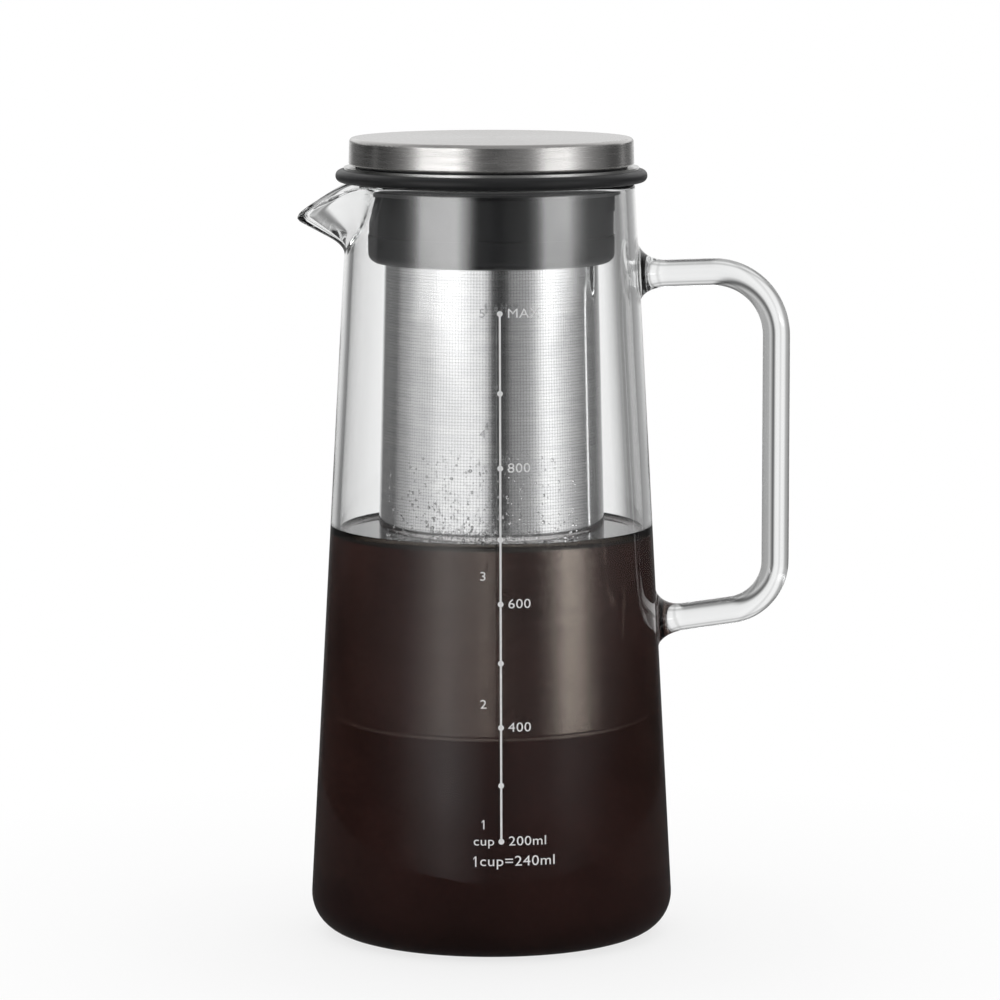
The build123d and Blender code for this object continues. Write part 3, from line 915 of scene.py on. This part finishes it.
def rod_path():
    """The rod's middle line between its two skirts: points with their direction, in XZ."""
    corners = [
        (wall_radius(UPPER_WELD), UPPER_WELD),
        (GRIP_X, arm_height(UPPER_WELD, UPPER_RISE, GRIP_X)),
        (GRIP_X, arm_height(LOWER_WELD, LOWER_RISE, GRIP_X)),
        (wall_radius(LOWER_WELD), LOWER_WELD),
    ]
    path = []
    place, start_gap = Vector(corners[0]), SKIRT_LONG
    for number, bend in ((1, UPPER_BEND), (2, LOWER_BEND)):
        corner, after = Vector(corners[number]), Vector(corners[number + 1])
        ahead, beyond = (corner - place).normalized(), (after - corner).normalized()
        turn = ahead.angle(beyond)
        setback = bend * tan(turn / 2)
        length = (corner - place).length - setback
        path += [(place + ahead * s, ahead) for s in spread(start_gap, length, ARM_ROWS)]
        side = (beyond - ahead * ahead.dot(beyond)).normalized()
        centre = corner - ahead * setback + side * bend
        for step in range(1, BEND_ROWS):
            swing = turn * step / BEND_ROWS
            point = centre - side * bend * cos(swing) + ahead * bend * sin(swing)
            path.append((point, ahead * cos(swing) + side * sin(swing)))
        place, start_gap = corner + beyond * setback, 0.0
    end = Vector(corners[3])
    ahead = (end - place).normalized()
    length = (end - place).length - SKIRT_LONG
    return path + [(place + ahead * s, ahead) for s in spread(0.0, length, ARM_ROWS)]


ROOT_SWING = 0.35  # a skirt starts inside the wall, this many radians before its flare does
ROOT_WIDER = 0.5  # and is wider and deeper there by these, for each radian
ROOT_DEEPER = 4.0
ROOT_ROWS = 3
FLARE_ROWS = 16
WALL_TRIES = 4  # to find where a spoke meets the wall


def skirt(weld, arm, spokes):
    """Rings of a weld's trumpet, from inside the wall to the rod, along an arm's direction."""
    across = Vector((-arm.y, arm.x))
    rings = []
    for swing in (*spread(-ROOT_SWING, 0.0, ROOT_ROWS), *spread(0.0, pi / 2, FLARE_ROWS)[1:-1]):
        if swing < 0:
            beyond, lift = -ROOT_WIDER * swing, ROOT_DEEPER * swing
        else:
            beyond, lift = 0.0, SKIRT_LONG * (1 - cos(swing))
        flare = SKIRT_WIDE * (1 - sin(max(swing, 0.0)))
        ring = []
        for spoke in spokes:
            radius = ROD_RADIUS + flare * (1 + SKIRT_RISE * max(cos(spoke), 0.0) ** 2) + beyond
            y = radius * sin(spoke)
            side = across * radius * cos(spoke)
            along = 0.0
            for _ in range(WALL_TRIES):
                point = weld + arm * along + side
                wall_x = sqrt(wall_radius(point.y) ** 2 - y**2)
                along += (wall_x - point.x) / arm.x
            point = weld + arm * (along + lift) + side
            ring.append((point.x, y, point.y))
        rings.append(ring)
    return rings


def handle_rod(material):
    """The bent rod with its two trumpet welds, closed at both ends inside the wall."""
    spokes = circle(ROD_SPOKES)
    path = rod_path()
    rings = []
    for point, ahead in path:
        across = Vector((-ahead.y, ahead.x))
        ring = []
        for spoke in spokes:
            place = point + across * ROD_RADIUS * cos(spoke)
            ring.append((place.x, ROD_RADIUS * sin(spoke), place.y))
        rings.append(ring)
    upper = skirt(Vector((wall_radius(UPPER_WELD), UPPER_WELD)), path[0][1], spokes)
    lower = skirt(Vector((wall_radius(LOWER_WELD), LOWER_WELD)), -path[-1][1], spokes)
    # The lower skirt faces the other way, so its rings start across and run the other way round
    half = ROD_SPOKES // 2
    lower = [[ring[half - step] for step in range(ROD_SPOKES)] for ring in lower]
    rings = upper + rings + lower[::-1]
    points = [point for ring in rings for point in ring]
    faces = []
    for number in range(len(rings) - 1):
        start = number * ROD_SPOKES
        for step in range(ROD_SPOKES):
            here, there = start + step, start + (step + 1) % ROD_SPOKES
            faces.append((here, here + ROD_SPOKES, there + ROD_SPOKES, there))
    faces.append(tuple(range(ROD_SPOKES)))
    faces.append(tuple(range(len(points) - 1, len(points) - 1 - ROD_SPOKES, -1)))
    return mesh_piece("handle_rod", points, faces, material)


def carafe_glass(material):
    """Body and handle melted into one piece of glass."""
    body = carafe_body(material)
    rod = handle_rod(material)
    weld = body.modifiers.new("weld", "BOOLEAN")
    weld.operation = "UNION"
    weld.solver = "MANIFOLD"
    weld.object = rod
    bpy.context.view_layer.update()
    seen = body.evaluated_get(bpy.context.evaluated_depsgraph_get())
    fused = bpy.data.meshes.new_from_object(seen)
    body.modifiers.clear()
    body.data = fused
    bpy.data.objects.remove(rod)
    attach(body, "carafe")
    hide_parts("glass_body", "glass_handle")


DRINK_ROWS = 40  # up its side
DRINK_COLUMNS = 200
CREEP_ROWS = 13
CREEP_CURVE = 2.4
TOP_RINGS = (0.85, 0.6, 0.3, 0.0)  # of the drink's top, as shares of its edge's radius


def coffee(material):
    """The drink: it fills the foot and creeps up the wall a little at its surface."""
    corner = BASE_CORNER - WALL + COFFEE_BITE
    foot = base_profile(FLOOR - COFFEE_BITE, WALL - COFFEE_BITE, corner, INNER_CORNER_ROWS)
    edge_height = COFFEE_LEVEL + MENISCUS_RISE
    side = [(wall_radius(z, WALL - COFFEE_BITE), z)
            for z in spread(foot[-1][1], edge_height, DRINK_ROWS)[1:]]
    edge = wall_radius(edge_height, WALL)
    creep = [
        (edge - MENISCUS_WIDE * share, COFFEE_LEVEL + MENISCUS_RISE * (1 - share) ** CREEP_CURVE)
        for share in spread(0.0, 1.0, CREEP_ROWS)
    ]
    top = [(edge * share, COFFEE_LEVEL) for share in TOP_RINGS]
    section = foot + side + creep + top
    columns = [column(section, turn) for turn in circle(DRINK_COLUMNS)]
    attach(mesh_piece("cold_brew", *skin(columns), material), "carafe")


DROP_SEED = 7
DROP_COUNT = 520
DROP_TURNS = (-44, 30)  # degrees from the scale's line
DROP_FOOT = 1.2  # above the coffee's surface
DROP_TOP = 24.0  # above that
DROP_CROWD = 3.2  # how much closer they stand near the surface
DROP_SMALL, DROP_LARGE = (0.15, 0.30), (0.30, 0.48)  # radii
DROP_SMALL_SHARE = 0.86
DROP_STRETCH = (0.9, 1.5)  # height against width
DROP_DEEP = 0.75  # share of the radius
DROP_SUNK = 0.05  # into the glass
DROP_SPOKES, DROP_RINGS = 12, 4


def droplet(turn, height, size, stretch):
    """Points and faces of one droplet's dome on the wall, closed by a point in the glass."""
    across = Vector((-sin(turn), cos(turn), 0))
    inward = Vector((-cos(turn), -sin(turn), 0))
    radius = wall_radius(height, WALL)
    middle = Vector((radius * cos(turn), radius * sin(turn), height)) - inward * DROP_SUNK
    deep = size * DROP_DEEP
    points, faces = [tuple(middle + inward * deep)], []
    for ring in range(1, DROP_RINGS + 1):
        swing = pi / 2 * ring / DROP_RINGS
        out = size * sin(swing)
        for around in circle(DROP_SPOKES):
            place = (middle + inward * deep * cos(swing) + across * out * cos(around)
                     + Vector((0, 0, out * stretch * sin(around))))
            points.append(tuple(place))
    points.append(tuple(middle - inward * DROP_SUNK))
    last = len(points) - 1
    for spoke in range(DROP_SPOKES):
        after = (spoke + 1) % DROP_SPOKES
        faces.append((0, 1 + spoke, 1 + after))
        for ring in range(DROP_RINGS - 1):
            here = 1 + ring * DROP_SPOKES
            beyond = here + DROP_SPOKES
            faces.append((here + spoke, beyond + spoke, beyond + after, here + after))
        edge = 1 + (DROP_RINGS - 1) * DROP_SPOKES
        faces.append((edge + spoke, last, edge + after))
    return points, faces


def droplets(material):
    """Droplets and small bubbles left on the inside of the wall above the coffee."""
    chance = random.Random(DROP_SEED)
    drops = []
    for _ in range(DROP_COUNT):
        turn = radians(SCALE_TURN + chance.uniform(*DROP_TURNS))
        height = COFFEE_LEVEL + DROP_FOOT + DROP_TOP * chance.random() ** DROP_CROWD
        sizes = DROP_SMALL if chance.random() < DROP_SMALL_SHARE else DROP_LARGE
        size = chance.uniform(*sizes)
        drops.append(droplet(turn, height, size, chance.uniform(*DROP_STRETCH)))
    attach(mesh_piece("condensation", *merged(drops), material), "carafe")


TEXT_HEIGHT = 2.6  # of the numerals
CUP_HEIGHT = TEXT_HEIGHT * 0.95
NOTE_TALL = TEXT_HEIGHT * 1.08
FONT_CAPITAL = 0.729  # share of the built-in font's size
FONT_STEPS = 4  # of its curves
TEXT_WIDE = 1.14  # stretched across
TEXT_SPACING = 1.06
DOT_SIDES = 28

# Places across, from the scale's line
TEXT_PLACE = 1.9  # where the millilitres start
CUP_PLACE = -4.7  # the middle of the cups
NOTE_ONE = -6.9  # the note's drawn 1
NOTE_WORDS = -5.9  # and where its words start

SCALE_WORDS = {"MAX": 1000, "800": 800, "600": 600, "400": 400, "200ml": 200}  # and their marks
UNIT_NOTE = "cup=240ml"  # after a drawn 1
NOTE_HEIGHT = 27.9


def text_points(words, capital, align):
    """Points in millimetres and faces of some words, flat and extruded."""
    data = bpy.data.curves.new("words", "FONT")
    data.body = words
    data.size = capital / FONT_CAPITAL
    data.align_x = align
    data.align_y = "CENTER"
    data.extrude = PRINT_THICK / 2
    data.space_character = TEXT_SPACING
    data.resolution_u = FONT_STEPS
    writing = bpy.data.objects.new("words", data)
    bpy.context.scene.collection.objects.link(writing)
    bpy.context.view_layer.update()
    mesh = bpy.data.meshes.new_from_object(writing)
    points = [(v.co.x * TEXT_WIDE, v.co.y, v.co.z) for v in mesh.vertices]
    faces = [tuple(p.vertices) for p in mesh.polygons]
    bpy.data.objects.remove(writing)
    bpy.data.meshes.remove(mesh)
    return points, faces


def plate(outline):
    """Points and faces of a flat outline given thickness."""
    count = len(outline)
    half = PRINT_THICK / 2
    points = [(x, z, -half) for x, z in outline] + [(x, z, half) for x, z in outline]
    faces = [tuple(range(count))[::-1], tuple(range(count, 2 * count))]
    for step in range(count):
        after = (step + 1) % count
        faces.append((step, after, after + count, step + count))
    return points, faces


# The drawn 1, in shares of its height: its right edge, its stroke, and its flag's reach and drop
ONE_RIGHT, ONE_STROKE, ONE_FLAG, ONE_DROP = 0.065, 0.13, 0.30, 0.20
FLAG_TOP, FLAG_FOOT = 0.8, 1.1  # strokes in from the right edge, and strokes down in the corner


def numeral_one(tall):
    """Points and faces of a 1 with a flag: the built-in font's is a bare bar."""
    half, right = tall / 2, ONE_RIGHT * tall
    stroke, tip, drop = ONE_STROKE * tall, right - ONE_FLAG * tall, ONE_DROP * tall
    return plate([
        (right, -half), (right, half), (right - FLAG_TOP * stroke, half), (tip, half - drop),
        (tip, half - drop - stroke), (right - stroke, half - FLAG_FOOT * stroke),
        (right - stroke, -half),
    ])


def moved(shape, across, up):
    """A shape's points, moved on the print, and its faces."""
    points, faces = shape
    return [(x + across, z + up, out) for x, z, out in points], faces


def on_wall(x, z, out):
    """A point of the print: across from the scale's line, up, and out of its mid-thickness."""
    radius = wall_radius(z) + PRINT_CLEAR + PRINT_THICK / 2 + out
    turn = radians(SCALE_TURN) + x / wall_radius(z)
    return (radius * cos(turn), radius * sin(turn), z)


def printed_scale(material):
    """The millilitre and cup scale: a line with dots, numerals either side, and a note."""
    marks = list(SCALE_MARKS.values())
    foot, top, half = marks[0], marks[-1], LINE_WIDTH / 2
    dot = plate([(DOT_RADIUS * cos(turn), DOT_RADIUS * sin(turn)) for turn in circle(DOT_SIDES)])
    shapes = [plate([(-half, foot), (half, foot), (half, top), (-half, top)])]
    shapes += [moved(dot, 0, height) for height in marks]
    for words, mark in SCALE_WORDS.items():
        text = text_points(words, TEXT_HEIGHT, "LEFT")
        shapes.append(moved(text, TEXT_PLACE, SCALE_MARKS[mark]))
    for words, height in CUP_MARKS.items():
        drawn = words == "1"
        text = numeral_one(CUP_HEIGHT) if drawn else text_points(words, CUP_HEIGHT, "CENTER")
        shapes.append(moved(text, CUP_PLACE, height))
    shapes.append(moved(text_points(UNIT_NOTE, NOTE_TALL, "LEFT"), NOTE_WORDS, NOTE_HEIGHT))
    shapes.append(moved(numeral_one(NOTE_TALL), NOTE_ONE, NOTE_HEIGHT))
    points, faces = merged(shapes)
    points = [on_wall(*point) for point in points]
    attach(mesh_piece("printed_scale", points, faces, material, smooth=False), "carafe")


# ---------------------------------------------------------------- the scene

make_world()
make_lamp()
make_floor()

carafe_glass(glass_material())
coffee(coffee_material())
droplets(water_material())
printed_scale(enamel_material())

finishes = {
    "seal_collar": silicone_material(),
    "lid_cap": brushed_steel_material(),
    "filter_rim": polished_steel_material(),
    "filter_screen": steel_mesh_material(),
    "lid_plug": plug_plastic_material(),
}
finishes["lid_seal"] = finishes["seal_collar"]
finishes["filter_base"] = finishes["filter_rim"]
for name, material in finishes.items():
    for slot in nodes[name].material_slots:
        slot.material = material

scene = bpy.context.scene
scene.view_settings.view_transform = "Standard"
scene.cycles.max_bounces = 28
scene.cycles.transmission_bounces = 24
scene.cycles.transparent_max_bounces = 24
scene.cycles.glossy_bounces = 6
